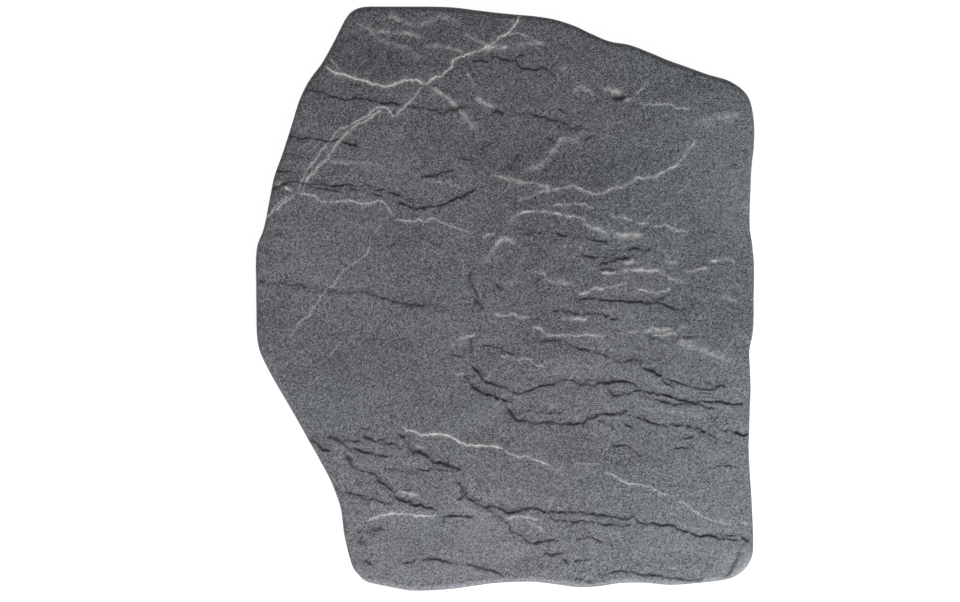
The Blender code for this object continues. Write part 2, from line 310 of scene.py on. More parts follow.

# Lips that stand up to the light. The face rises on the left of each line.
# Each has its rise in millimetres, the width of the rise, its paleness (partly a rubbed pale edge,
# partly a painted highlight where the lip faces the light), and its course.
LIPS = [
    # far side
    (.30, 2.2, .46, [-92, 219, -86, 217, -78, 213, -68, 210]),
    (.35, 2.4, .42, [-32.3, 205.2, -26, 201, -19.5, 198, -13, 194.5]),
    (.35, 2., .48, [-62.3, 193.5, -53.7, 195.2, -45, 193.5, -36.6, 191.3, -30, 188]),
    (.30, 3., .34, [-75, 209.5, -62.3, 211.7, -49.5, 218, -41, 215, -32, 210.6]),
    (.30, 2.2, .34, [-101, 206.3, -88, 204.6, -75, 204, -62, 201]),
    (.30, 2.4, .36, [-114, 211.7, -105, 207.4, -98.7, 201, -90, 196.7, -83.7, 195, -75, 192.4,
     -68.7, 188, -64.4, 181.7]),
    (.35, 2.4, .70, [-23, 190.5, -15, 192.5, -9, 193.5, -3, 194, 4, 193.5]),
    (.30, 2.2, .35, [6, 195, 18, 196, 32, 197]),
    (.25, 1., .30, [2, 203, 8, 204.5, 14, 203, 19, 200, 24, 198, 31, 197.5]),
    (.40, 2.4, .28, [51, 159, 58, 162.7, 64, 160, 69, 156]),
    (.40, 2.8, .42, [41, 175.5, 48, 178]),
    (.40, 2.3, .54, [-58, 163, -51.6, 160, -45, 156, -39.5, 150, -36, 147]),
    (.35, 2.6, .40, [-36, 147, -31.4, 140.5, -28, 136, -25.2, 132.4, -21.2, 128]),
    (.45, 2.4, .60, [-25, 154, -19, 152.5, -15, 149.5, -10, 148, -7, 147]),
    (.20, 1., .25, [-31, 176, -27, 170, -24, 162]),
    (.40, 2.8, .52, [74, 162, 80, 161, 86, 159.5, 91, 157.5]),
    (.50, 2.8, .45, [90, 151, 94, 153, 100, 151.5]),
    (.20, 1.2, .30, [99, 155, 106, 162, 113, 169]),
    (.30, 1., .35, [102, 150.5, 110, 149.5, 118, 149.5, 127, 149, 133, 147, 143, 147]),
    (.35, 3., .36, [13, 98.5, 24, 100, 27, 103, 31, 106, 38, 115, 42, 122, 47, 123, 59, 121]),
    (.30, 1.8, .40, [-12, 96, -5, 94, 0, 93, 5, 91.5, 10, 90, 18, 89, 26, 87.5, 36, 84.5]),
    (.25, 1.2, .25, [-61, 91, -50, 89.5, -44, 89, -40, 87, -34, 86.5]),
    (.25, 2., .30, [-138, 106, -130, 104.5, -120, 104, -110, 104.5, -100, 103, -92, 101]),
    # the long one that climbs to the right
    (.35, 1.2, .40, [9, 75, 18.5, 78.4, 25.4, 81.2, 33.6, 82.7, 42, 84.7, 52.3, 87, 56, 85,
     61, 82.2, 67, 81, 73, 80, 78, 81.6, 83, 84.6, 90, 85, 96, 88.5, 101.4, 92.3, 108, 93,
     115.5, 93.5, 120.7, 97.3, 126.5, 100.7, 132, 102, 136, 107.3, 138.6, 112.2, 143.3, 118,
     148, 123]),
    (.30, 4., .42, [152, 132, 159, 137, 163, 139.5, 172, 140, 181, 143]),
    (.25, 1.1, .30, [34, 72, 45, 72, 52, 73, 60, 72, 69, 70]),
    (.25, 1.4, .30, [-2, 73, 5, 72]),
    # the arch right of centre
    (.60, 1.4, .42, [3, 57, 9, 64.3, 14, 67, 20, 67.8, 28, 67.2, 35, 66.5, 42, 65, 46, 63.5]),
    (.50, 1.6, .32, [44, 64, 53, 63, 60, 61, 64, 56.5, 68, 54.2, 74, 52, 82, 51.6, 86, 49.5,
     91, 48]),
    (.30, 4., .40, [66, 55, 75, 52, 84, 50]),
    (.60, 3., .80, [85, 50, 91, 48.5, 97, 48.5, 106, 48.3]),
    (.45, 2.4, .45, [-20, 26, -13.5, 31, -10, 36, -7.6, 40, -3.7, 44.6, 1, 45.2, 5, 44, 9.5, 42]),
    (.30, 2.2, .30, [2, 9, 8, 16, 12, 24, 14, 35]),
    (.30, 1.2, .35, [-19, 46, -11, 49.5, -7, 50]),
    (.30, 1., .35, [79, 63, 88, 62.5, 95, 60.5, 99, 60]),
    (.30, 1., .35, [100, 58, 111, 58]),
    (.30, 1., .35, [112, 55, 118, 56, 123, 57.5, 127, 54.5, 133, 52, 141, 50.5]),
    (.25, 1., .30, [42, 40, 49, 40]),
    (.25, 1., .30, [53, 41.5, 62, 38.5]),
    # right side, above the middle
    (.45, 1.7, .52, [73, 19.8, 80, 19.7, 87, 19.8, 93, 20.8, 100, 22, 105, 23, 109, 21.5, 116, 21,
     121, 19.7, 126.5, 15.8, 131, 15.4, 135, 14.5, 139, 10]),
    (.40, 1.1, .40, [56, 2.5, 62, 4, 69, 7.6, 76, 7.5, 82, 8.5, 90, 11, 96, 13.5]),
    (.35, 1.1, .35, [99, 8, 110, 5.5, 118, 4, 122, 6, 129, 7]),
    (.30, 1.5, .45, [122, 28, 128, 27.5, 133, 25]),
    (.30, 2.2, .48, [90, 27, 96, 28, 102, 27.5]),
    (.35, 1.8, .42, [134, 21, 142, 21, 148, 22, 157.5, 24]),
    (.35, 1.6, .48, [157, 28, 165, 29.5, 170, 30, 179, 28]),
    (.30, 1.8, .48, [164, 1, 171, .5, 179, -3.5]),
    (.30, 2.2, .38, [19, 20, 30, 20, 32, 16, 36, 13, 45, 12, 53, 11.4]),
    # below the middle
    (.30, 1.8, .44, [-9, -11.5, 1, -13.5, 6, -12, 14, -14.7, 19, -16]),
    (.40, 1.2, .45, [20.5, -22.5, 27, -23.5, 30.7, -27, 37, -28.4, 44, -28.8, 52, -28.4, 62, -27.6,
     70, -29, 77, -30]),
    (.25, 1.8, .40, [40, -16, 48, -16.5, 56, -15.5, 66, -17]),
    (.30, 1., .30, [-40, -32, -35, -31.5, -30, -29.4, -26, -29, -22, -26]),
    (.30, 1., .35, [-5.5, -44, 2, -45, 8, -46.6, 14, -47, 18, -47, 22, -49, 25, -51.5, 31, -53.5]),
    (.35, 4.4, .46, [148, -37, 155, -41, 162.6, -45.5, 168, -46, 175, -49.5]),
    (.25, 4.4, .40, [132, -34, 140, -35, 150, -39]),
    (.30, 2., .30, [86, -24.5, 92, -27, 98, -25, 106, -26.5]),
    (.30, 1.7, .46, [106, -25.5, 111, -24.3, 114, -22, 119, -24.8, 125, -22.8, 130, -24.5]),
    (.25, 1.6, .38, [131, -25.5, 136, -22.5, 146, -22]),
    (.25, 1.5, .38, [113, -28, 120, -29, 127, -27.5, 133, -26.5]),
    (.30, 1.2, .30, [1, -171, 6, -169, 11, -167.5, 16, -168, 22, -170, 28, -171]),
    (.25, 1., .30, [16, -170.5, 22, -174, 27, -176.5, 31, -182]),
    (.30, 1., .35, [-37, -136.5, -33, -132.5]),
    # lower left
    (.30, 1.8, .38, [-82, -148, -75, -150, -64, -152.5]),
    (.30, 1.8, .42, [-71, -115, -65, -115.5, -60, -117]),
    # left edge
    (.25, 2.4, .42, [-179, 89.5, -170, 88.5]),
    # left of the middle
    (.25, 1.4, .45, [-41, -58.5, -34, -57.5, -29, -58]),
]

# Soft lighter (+) and darker (-) areas: centre, half sizes, turn in degrees, and amount
PATCHES = [
    # broad
    (26, 10, 26, 85, 0, -.8), (26, -100, 26, 34, 0, -.3), (74, 35, 26, 26, 0, -.5),
    (74, -118, 28, 20, 0, -.65), (122, -115, 28, 20, 0, -.55), (122, -65, 30, 16, 0, .5),
    (122, 35, 26, 20, 0, .4), (174, 135, 20, 26, 0, .9), (176, 85, 18, 24, 0, .5),
    (174, -65, 20, 22, 0, .7), (178, -204, 18, 14, 0, .9), (-22, 85, 26, 22, 0, -.5),
    (-22, -115, 26, 14, 0, -.7), (-22, -165, 26, 18, 0, .8), (-25, -205, 30, 12, 0, .4),
    (-70, -118, 26, 16, 0, .5), (-72, -165, 26, 18, 0, .3), (-74, -208, 26, 12, 0, .45),
    (-118, 60, 28, 46, 0, .5), (-118, -115, 22, 24, 0, .35), (-165, 30, 22, 34, 0, .45),
    (-118, 186, 26, 16, 0, -.3), (60, -205, 26, 10, 0, .15),
    # far side
    (-95, 185, 55, 16, 0, -.5), (-108, 162, 34, 7, -4, -.7), (26, 212, 16, 6, 0, -.4),
    (110, 186, 45, 6, -20, -.45), (15, 196, 32, 4, 2, .75), (90, 165, 15, 8, 0, .45),
    (-98, 112, 28, 24, 0, 1.05), (-90, 136, 16, 8, 0, .3), (0, 122, 10, 26, 0, .35),
    (50, 98, 42, 34, 0, -1.), (32, 118, 20, 14, 0, -.35), (186, 95, 22, 70, 0, .75),
    (150, 122, 22, 26, 0, .8), (163, 78, 22, 18, 0, .55), (120, 60, 25, 8, 0, .35),
    (150, 128, 20, 18, 0, .4), (166, 88, 16, 22, 0, .5), (173, 60, 14, 7, -15, 1.2),
    (182, 90, 10, 4, 0, .6), (112, 49, 12, 6, 0, .5), (-160, -6, 8, 10, 0, .5),
    # middle
    (26, 55, 24, 8, 0, -.6), (5, 65, 32, 50, 0, -.35), (-60, 46, 60, 18, -4, -.45),
    (-138, 30, 30, 26, 0, .75), (-30, 30, 12, 32, 0, .45), (-5, 30, 14, 14, 0, .2),
    (70, 10, 20, 9, 0, -.8), (-22, -29, 8, 3, 0, -.5), (135, -16, 52, 9, 0, -.65),
    (60, -15, 50, 5, 0, .65), (184, -60, 24, 50, 0, .3), (130, -34, 46, 8, -24, .9),
    (-120, -60, 50, 30, -20, .1), (-140, -40, 22, 13, 0, -.3), (132, -61, 14, 7, 0, .6),
    (82, -42, 9, 6, 0, .5), (60, -55, 60, 8, -5, .2), (30, -80, 40, 10, -6, .25),
    (140, -85, 42, 10, 0, .5),
    # near side
    (-70, -112, 60, 8, -8, -.2), (0, -112, 30, 11, -8, -.75), (90, -120, 38, 11, -3, -1.),
    (38, -145, 45, 16, -6, -.45), (90, -150, 60, 14, -8, -.05), (140, -125, 40, 9, -5, .15),
    (-128, -125, 9, 26, 28, .7), (-30, -160, 54, 24, 0, .55), (-50, -185, 70, 12, 0, .3),
    (160, -166, 28, 13, 0, .5), (150, -200, 45, 14, 0, .4), (108, -204, 44, 6, 0, -.85),
    (20, -207, 24, 7, 0, -1.3), (152, -38, 20, 7, -30, .5), (184, -206, 9, 12, 0, 1.8),
    (-12, -118, 22, 7, -6, -.35), (95, -126, 30, 8, 0, -.3), (-60, -208, 60, 8, 0, .35),
    (-98, -196, 22, 13, 0, -.2), (-35, -139, 10, 8, 0, .7), (-122, -121, 7, 9, 0, .6),
    (3, -193, 7, 10, -35, .5),
]

# Courses are drawn to a scale a touch under the outline's along Y
COURSE_STRETCH = 1.0025
COURSE_SHIFT = -.2

# How far from a line its shape and shade are worked out, in millimetres
LINE_REACH = 26
VEIN_REACH = 8

# Soft random layers: amount, the cells' two sizes in millimetres, seed, turn in degrees
WAVES = [(.26, 62, 24, 11, -7), (.20, 27, 10, 12, -5), (.17, 13, 6, 13, 12),
         (.085, 8, 3.6, 14, -9)]
SAND = [(.028, 5.1, 3.4, 21, 17), (.026, 2.9, 2.1, 22, -31), (.036, 1.7, 1.5, 23, 40)]
BEND_X = [(.60, 6.5, 6.5, 41, 0), (.65, 2.8, 2.8, 42, 0), (.30, 1.6, 1.6, 49, 0)]
BEND_Y = [(.60, 6.5, 6.5, 43, 0), (.70, 2.8, 2.8, 44, 0), (.42, 1.5, 1.5, 50, 0)]
VARIED = [(.55, 9, 7, 45, 0), (.55, 3.1, 3.1, 46, 0)]
TONES = [(.45, 48, 30, 51, 0), (.42, 16, 9, 52, -8)]

# Distances in millimetres between thin leaves, over which the wall's relief dies out at the
# loop's two ends, and over which it dies out at the wall's top and foot
LEAF_SPACING = 8.5
WALL_JOIN = 8
WALL_FADE = 3

# Texture cells in a metre
GRIT_SCALE = 1500
COARSE_SCALE = 520
GRAIN_SCALE = 1750
HATCH_SCALE = (950, 300, 400)
BLOTCH_SCALE = 26
WARMTH_SCALE = 21

# The stone's level between its dark and its light grey: its middle, how much tone and blotch change
# it,
# and a painted light falloff: how much each metre of Y and X changes it, darker to the far side,
# lighter to the right
LEVEL_MIDDLE = .318
TONE_GAIN = .085
BLOTCH_GAIN = .16
PAINTED_FALLOFF_Y = -.34
PAINTED_FALLOFF_X = .10

# Each random table's cells along one side, and the tables made so far
PERIOD = 512
TABLES = {}


def smooth_step(t):
    """0 at 0 and below, 1 at 1 and above, with no slope at either end: 3 t2 less 2 t3."""
    t = np.clip(t, 0.0, 1.0)
    return t * t * (3 - 2 * t)


def bell(gap, width):
    """1 at no gap, falling as e to the minus square of gap over width."""
    return np.exp(-(gap / width) ** 2)


def cloud(x, y, size_x, size_y, seed, turn=0.0):
    """Soft random heights from -1 to 1: random numbers on a turned lattice of cells
    size_x by size_y, blended across each cell with a smooth step."""
    if seed not in TABLES:
        TABLES[seed] = np.random.default_rng(seed).uniform(-1, 1, (PERIOD, PERIOD))
    table = TABLES[seed]
    c, s = np.cos(np.radians(turn)), np.sin(np.radians(turn))
    u = (c * x + s * y) / size_x + 173.3
    v = (c * y - s * x) / size_y + 211.7
    i, j = np.floor(u).astype(int), np.floor(v).astype(int)
    fu, fv = smooth_step(u - i), smooth_step(v - j)
    i0, i1, j0, j1 = i % PERIOD, (i + 1) % PERIOD, j % PERIOD, (j + 1) % PERIOD
    low = table[i0, j0] * (1 - fu) + table[i1, j0] * fu
    high = table[i0, j1] * (1 - fu) + table[i1, j1] * fu
    return low * (1 - fv) + high * fv


def layered(x, y, layers, start=0.0):
    """Start, plus each layer's cloud times its amount."""
    total = start
    for amount, size_x, size_y, seed, turn in layers:
        total = total + amount * cloud(x, y, size_x, size_y, seed, turn)
    return total


def closed_spline(points, per_span):
    """Smooth closed curve through every point: a cubic in t between each two neighbours."""
    here = np.array(points, float).reshape(-1, 2)
    before, after = np.roll(here, 1, axis=0), np.roll(here, -1, axis=0)
    beyond = np.roll(here, -2, axis=0)
    t = (np.arange(per_span) / per_span)[None, :, None]
    a, b, c, d = (p[:, None, :] for p in (before, here, after, beyond))
    curve = 2 * b + (c - a) * t + (2 * a - 5 * b + 4 * c - d) * t ** 2
    curve = 0.5 * (curve + (3 * b - a - 3 * c + d) * t ** 3)
    return curve.reshape(-1, 2)


def outward(loop):
    """Unit normals that point out of a clockwise loop, evened over a few neighbours."""
    tangent = np.roll(loop, -1, axis=0) - np.roll(loop, 1, axis=0)
    tangent = sum(np.roll(tangent, k, axis=0) for k in range(-5, 6))
    normal = np.column_stack([-tangent[:, 1], tangent[:, 0]])
    return normal / np.linalg.norm(normal, axis=1)[:, None]


def outline_loop():
    """The outline as one loop of points, clockwise from the first corner: each side is cut
    into equal steps of its own length, FACE_COLUMNS or FACE_ROWS of them."""
    curve = closed_spline(OUTLINE, 64)
    low, high = curve.min(axis=0), curve.max(axis=0)
    size = np.array([SLAB_WIDTH, SLAB_LENGTH])
    curve = (curve - (low + high) / 2) * size / (high - low)
    starts = [int(np.argmin(np.hypot(*(curve - corner).T))) for corner in CORNERS]
    curve = np.roll(curve, -starts[0], axis=0)
    cuts = [(s - starts[0]) % len(curve) for s in starts] + [len(curve)]
    curve = np.vstack([curve, curve[:1]])
    sides = []
    for side, steps in enumerate([FACE_COLUMNS, FACE_ROWS] * 2):
        part = curve[cuts[side]:cuts[side + 1] + 1]
        run = np.concatenate([[0], np.cumsum(np.hypot(*np.diff(part, axis=0).T))])
        at = np.linspace(0, run[-1], steps, endpoint=False)
        sides.append(np.column_stack([np.interp(at, run, part[:, k]) for k in (0, 1)]))
    return np.vstack(sides)


def filled_sheet(loop, columns, rows):
    """Points across the loop: sum of the straight blend between far and near sides and the
    one between left and right sides, less the straight blend of the four corners."""
    closed = np.vstack([loop, loop[:1]])
    far, right = closed[:columns + 1], closed[columns:columns + rows + 1]
    near = closed[columns + rows:2 * columns + rows + 1][::-1]
    left = closed[2 * columns + rows:][::-1]
    u = np.linspace(0, 1, columns + 1)[None, :, None]
    v = np.linspace(0, 1, rows + 1)[:, None, None]
    across = (1 - v) * far[None] + v * near[None]
    down = (1 - u) * left[:, None] + u * right[:, None]
    corners = (1 - v) * ((1 - u) * far[0] + u * far[-1]) + v * ((1 - u) * near[0] + u * near[-1])
    return across + down - corners


def course_field(x, y, course):
    """For each place: its distance to the bent line, its signed distance from the line's
    nearest stretch (left positive), and how far from the line's nearer end that is."""
    points = np.reshape(course, (-1, 2))
    best = np.full(x.shape, 1e9)
    side, along = np.zeros(x.shape), np.zeros(x.shape)
    begun = 0.0
    for (ax, ay), (bx, by) in zip(points, points[1:]):
        sx, sy = bx - ax, by - ay
        run = float(np.hypot(sx, sy))
        t = np.clip(((x - ax) * sx + (y - ay) * sy) / run ** 2, 0, 1)
        gap = np.hypot(x - ax - t * sx, y - ay - t * sy)
        closer = gap < best
        best = np.where(closer, gap, best)
        side = np.where(closer, (sx * (y - ay) - sy * (x - ax)) / run, side)
        along = np.where(closer, begun + t * run, along)
        begun += run
    return best, side, np.minimum(along, begun - along)


def places_near(x, y, course, reach):
    """Which places lie within reach of the line's box."""
    points = np.reshape(course, (-1, 2))
    low, high = points.min(axis=0) - reach, points.max(axis=0) + reach
    return np.flatnonzero((x > low[0]) & (x < high[0]) & (y > low[1]) & (y < high[1]))


def drawn_lines(lines, x, y, bent, reach):
    """For each line: its own numbers, the places within its reach, and its field at their
    bent positions."""
    for *numbers, course in lines:
        near = places_near(x, y, course, reach)
        yield (*numbers, near, *course_field(bent[0][near], bent[1][near], course))


def step_profile(side, width, before, after, fall_before, fall_after):
    """A step across a line: before on its right, after on its left, joined by a tanh of the
    given width, each dying away exponentially with distance."""
    right = 0.5 * (1 - np.tanh(side / (0.5 * width)))
    shape = before * right * np.exp(-np.abs(side) / fall_before)
    return shape + after * (1 - right) * np.exp(-np.abs(side) / fall_after)


def broad_waves(x, y):
    """The waves of the solid's own face, with finer ones: a tilt, three sines and soft
    random layers drawn out along the stone's own."""
    height = 0.25 * y / SLAB_LENGTH
    sines = [(.45, 260, 340, .4), (.30, -170, 210, 1.9), (.20, 120, -95, 3.1)]
    for size, wave_x, wave_y, phase in sines:
        height = height + size * np.sin(2 * np.pi * (x / wave_x + y / wave_y) + phase)
    return layered(x, y, WAVES, height)


def broken_area(x, y):
    """1 right of the middle, where the leaves are most broken up, fading to 0 around it."""
    return np.exp(-((x - 115) / 75) ** 2 - ((y + 10) / 75) ** 2)


def leaf_edges(x, y):
    """Faint edges of paper-thin leaves, as heights and as painted shade along each step: a
    sawtooth across the layers' direction, its lines bent by soft random shifts, present only
    where another random height is positive, and strongest right of the middle."""
    place = (y + .09 * x + 9 * cloud(x, y, 70, 40, 31) + 2.2 * cloud(x, y, 14, 9, 32))
    place = place / LEAF_SPACING
    tooth = place - np.floor(place)
    shape = np.minimum(tooth / .12, (1 - tooth) / .88)
    here = smooth_step(1.6 * cloud(x, y, 26, 11, 33, -6) + .1)
    edge = np.exp(-((tooth - .06) / .07) ** 2)
    here *= .8 + 1.1 * broken_area(x, y)
    # The second value is painted shade along each leaf's step
    return .20 * here * (shape - .5), .24 * here * edge


def scratches(x, y):
    """Fine short scratches at about 45 degrees, each with a random middle, length and
    paleness from one seeded draw, and a bell across it."""
    draw = np.random.default_rng(81)
    pale = np.zeros(x.shape)
    for _ in range(SCRATCH_COUNT):
        middle = draw.uniform(-1, 1, 2) * (SLAB_WIDTH / 2, SLAB_LENGTH / 2)
        turn, reach = np.radians(draw.normal(47, 7)), draw.uniform(3, 11)
        strength = draw.uniform(.08, .26)
        arm = reach * np.array([np.cos(turn), np.sin(turn)])
        course = np.concatenate([middle - arm, middle, middle + arm])
        near = places_near(x, y, course, 3)
        gap, side, end = course_field(x[near], y[near], course)
        pale[near] = np.maximum(pale[near], strength * bell(gap, .45) * smooth_step(end / 4))
    return pale


def carve_clefts(x, y, bent, vary, height, cleft):
    """Cut the clefts into height and paint their shade, with some dirt, into cleft. The face is
    raised on the right of each line, lowered on its left, and notched along it by a bell; the
    painted shade is that bell with a faint wide one. In places a fainter echo runs a few
    millimetres to the left."""
    echo_place = 2.6 + 1.3 * cloud(x, y, 14, 9, 47)
    echo_here = .5 * smooth_step(1.8 * cloud(x, y, 15, 8, 48) + .1)
    clefts = drawn_lines(CLEFTS, x, y, bent, LINE_REACH)
    for strength, width, near, gap, side, end in clefts:
        amount = (.26 + .80 * strength) * vary[near] * smooth_step(end / 2.2 + .35)
        wide = bell(gap, 9 + 6 * strength)
        height[near] += amount * wide * step_profile(side, width, .50, -.75, 7, 7)
        notch = bell(gap, .75 * width)
        height[near] -= .50 * amount * notch
        # Painted shade, with some dirt, along the cleft and its wide fringe
        dark = notch + .32 * bell(gap, 2.6 * width)
        cleft[near] = np.maximum(cleft[near], amount * dark)
        past = side - echo_place[near]
        echo = amount * echo_here[near] * wide * smooth_step(end / 6)
        height[near] -= .35 * echo * smooth_step(past + .5)
        cleft[near] = np.maximum(cleft[near], echo * bell(past, .7))


def raise_lips(x, y, bent, vary, height, pale):
    """Raise the lips in height and lighten them in pale, partly a rubbed edge and partly a
    painted highlight on the side that faces the light. The face is lowered on the right of
    each line and raised on its left; the paleness is a narrow bell with a wide one, weaker
    by the root of the lip's width."""
    lips = drawn_lines(LIPS, x, y, bent, LINE_REACH)
    for rise, width, light, near, gap, side, end in lips:
        amount = vary[near] * smooth_step(end / 5 + .12)
        step = step_profile(side, 1.3 * width, -.7, .9, 8, 9)
        height[near] += rise * amount * bell(gap, 12) * step
        # Painted highlight on the lit lip, with a rubbed pale edge
        glow = bell(gap, .65 * width) + .3 * bell(gap, 1.8 * width)
        pale[near] = np.maximum(pale[near], .60 / np.sqrt(width) * light * amount * glow)


def lay_veins(x, y, bent, vary, height, pale):
    """Lay the veins in pale and let them stand out slightly in height: a narrow bell across
    each line with a faint wide one."""
    veins = drawn_lines(VEINS, x, y, bent, VEIN_REACH)
    for strength, width, near, gap, side, end in veins:
        amount = .95 * strength * (.5 + .5 * vary[near]) * smooth_step(end / 6 + .1)
        line = amount * (bell(gap, .55 * width) + .16 * bell(gap, 2.8 * width))
        height[near] += .12 * line
        pale[near] = np.maximum(pale[near], line)


def patchy_tone(x, y):
    """Two soft random layers, plus each patch's amount times a bell along both of its turned
    half sizes."""
    tone = layered(x, y, TONES)
    for cx, cy, half_x, half_y, turn, amount in PATCHES:
        c, s = np.cos(np.radians(turn)), np.sin(np.radians(turn))
        u, v = c * (x - cx) + s * (y - cy), c * (y - cy) - s * (x - cx)
        tone += amount * np.exp(-(u / half_x) ** 2 - (v / half_y) ** 2)
    return tone


def split_face(x, y):
    """The split face at each place: its height over the nominal thickness, and how much it
    is darkened by painted shade, with some dirt, in clefts and along leaf edges, paled by veins,
    scratches and painted highlights on the lips, and lighter or darker than usual. The height is
    the sum of waves, sand, leaves, clefts, lips and veins; lines are bent and varied by
    soft random layers."""
    shape = x.shape
    x, y = x.ravel(), y.ravel()
    # The leaf edges' painted shade starts the cleft shade
    leaves, cleft = leaf_edges(x, y)
    height = broad_waves(x, y) + layered(x, y, SAND) + leaves
    height += .15 * broken_area(x, y) * cloud(x, y, 11, 4.2, 15, -8)
    pale = scratches(x, y)
    bent = (layered(x, y, BEND_X, x),
            layered(x, y, BEND_Y, COURSE_STRETCH * y + COURSE_SHIFT))
    vary = np.maximum(layered(x, y, VARIED, 1), .45)
    carve_clefts(x, y, bent, vary, height, cleft)
    raise_lips(x, y, bent, vary, height, pale)
    lay_veins(x, y, bent, vary, height, pale)
    # The pale mark holds veins, scratches and the lips' painted highlights
    marks = {"cleft": cleft, "vein_and_highlight": pale, "tone": patchy_tone(x, y)}
    return height.reshape(shape), {k: v.reshape(shape) for k, v in marks.items()}


def grid_normals(grid, wrap=False):
    """Unit normals of a grid of points: the cross product of its two central differences."""
    if wrap:
        along = np.roll(grid, -1, axis=1) - np.roll(grid, 1, axis=1)
    else:
        along = np.gradient(grid, axis=1)
    down = np.gradient(grid, axis=0)
    normal = np.cross(down, along)
    size = np.linalg.norm(normal, axis=2)[..., None]
    flat = size[..., 0] < 1e-9
    normal = normal / np.maximum(size, 1e-9)
    normal[flat] = (0, 0, 1)
    return normal


def turned_round(grid, marks):
    """A band's columns in the opposite order, so that a band that runs outwards faces out."""
    return grid[:, ::-1], {mark: values[:, ::-1] for mark, values in marks.items()}


def corner_places(rows, columns, wrap):
    """The four grid places of each cell, in the order that faces the grid's normals."""
    across = np.arange(columns if wrap else columns - 1)
    i, j = np.meshgrid(np.arange(rows - 1), across, indexing="ij")
    order = [(0, 0), (1, 0), (1, 1), (0, 1)]
    return np.stack([i + a for a, b in order], -1), np.stack([j + b for a, b in order], -1)


def skin(name, grid, normals, marks, material, map_places, wrap=False):
    """A mesh from a grid of points with its own normals, face marks and flat map."""
    rows, columns = grid.shape[:2]
    i, j = corner_places(rows, columns, wrap)
    faces = (i * columns + j % columns).reshape(-1, 4)
    mesh = bpy.data.meshes.new(name)
    mesh.vertices.add(rows * columns)
    mesh.vertices.foreach_set("co", (grid * MM).astype(np.float32).ravel())
    mesh.loops.add(faces.size)
    mesh.loops.foreach_set("vertex_index", faces.astype(np.int32).ravel())
    mesh.polygons.add(len(faces))
    mesh.polygons.foreach_set("loop_start", np.arange(0, faces.size, 4, dtype=np.int32))
    mesh.polygons.foreach_set("use_smooth", np.ones(len(faces), bool))
    mesh.update(calc_edges=True)
    for mark, values in marks.items():
        attribute = mesh.attributes.new(mark, "FLOAT", "POINT")
        attribute.data.foreach_set("value", values.astype(np.float32).ravel())
    layer = mesh.uv_layers.new(name="OFBake")
    layer.data.foreach_set("uv", map_places(i, j).reshape(-1, 2).astype(np.float32).ravel())
    mesh.normals_split_custom_set_from_vertices(normals.reshape(-1, 3))
    mesh.materials.append(material)
    piece = bpy.data.objects.new(name, mesh)
    bpy.context.scene.collection.objects.link(piece)
    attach(piece, "root")
    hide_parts("stone_slab")


def flat_map(grid):
    """Map places straight from X and Y, stretched to fill the square."""
    low, high = grid[..., :2].min(axis=(0, 1)), grid[..., :2].max(axis=(0, 1))
    place = .004 + .992 * (grid[..., :2] - low) / (high - low)
    return lambda i, j: place[i, j]


def folded_map(rows, columns, folds):
    """Map places for a closed band: cut into equal lengths, laid one above the other."""
    per_fold = columns // folds

    def places(i, j):
        fold = j.min(axis=-1, keepdims=True) // per_fold
        across = .004 + .992 * (j - fold * per_fold) / per_fold
        up = (fold + .03 + .94 * i / (rows - 1)) / folds
        return np.stack([across, up], -1)
    return places


def painted_rim_light_and_shade(normal):
    """Painted light and shade on the rim: darker where the edge faces the far side, away from the
    key light, and paler elsewhere.
    """
    return .6 * normal[:, 0] ** 2 - 1.45 * normal[:, 1]


def band_to_edge(loop, normal):
    """The face's last few millimetres and its rounded arris: level rings to where the arris
    starts, then a quarter circle down to the wall, its top lifted with the split face."""
    insets = list(np.linspace(RIM_WIDTH, UPPER_ARRIS_RADIUS, RIM_STEPS + 1))
    turns = [90.0] * len(insets)
    for step in range(1, ARRIS_STEPS + 1):
        turn = 90.0 * (1 - step / ARRIS_STEPS)
        insets.append(UPPER_ARRIS_RADIUS * (1 - np.cos(np.radians(turn))))
        turns.append(turn)
    flat = loop[None] - np.array(insets)[:, None, None] * normal[None]
    height, marks = split_face(flat[..., 0], flat[..., 1])
    # Painted rim light and shade, full within 1.5 mm of the edge and gone RIM_WIDTH in
    painted_rim = 1 - smooth_step((np.array(insets)[:, None] - 1.5) / (RIM_WIDTH - 1.5))
    marks["tone"] = marks["tone"] + painted_rim * painted_rim_light_and_shade(normal)
    lift = np.sin(np.radians(turns))[:, None]
    foot = THICKNESS - UPPER_ARRIS_RADIUS
    z = foot + (UPPER_ARRIS_RADIUS + height) * lift
    return np.dstack([flat, z]), marks


def wall_relief(run, z):
    """How far the dressed wall stands in or out: thin layers along it, dressing marks
    across it, and grain."""
    layers = .30 * cloud(run, z, 55, 1.7, 61) + .16 * cloud(run, z, 18, .9, 62)
    dressing = .22 * cloud(run, z, 9, 14, 63) + .10 * cloud(run, z, 3.2, 4.5, 64)
    return layers + dressing + .05 * cloud(run, z, 1.5, 1.3, 65)


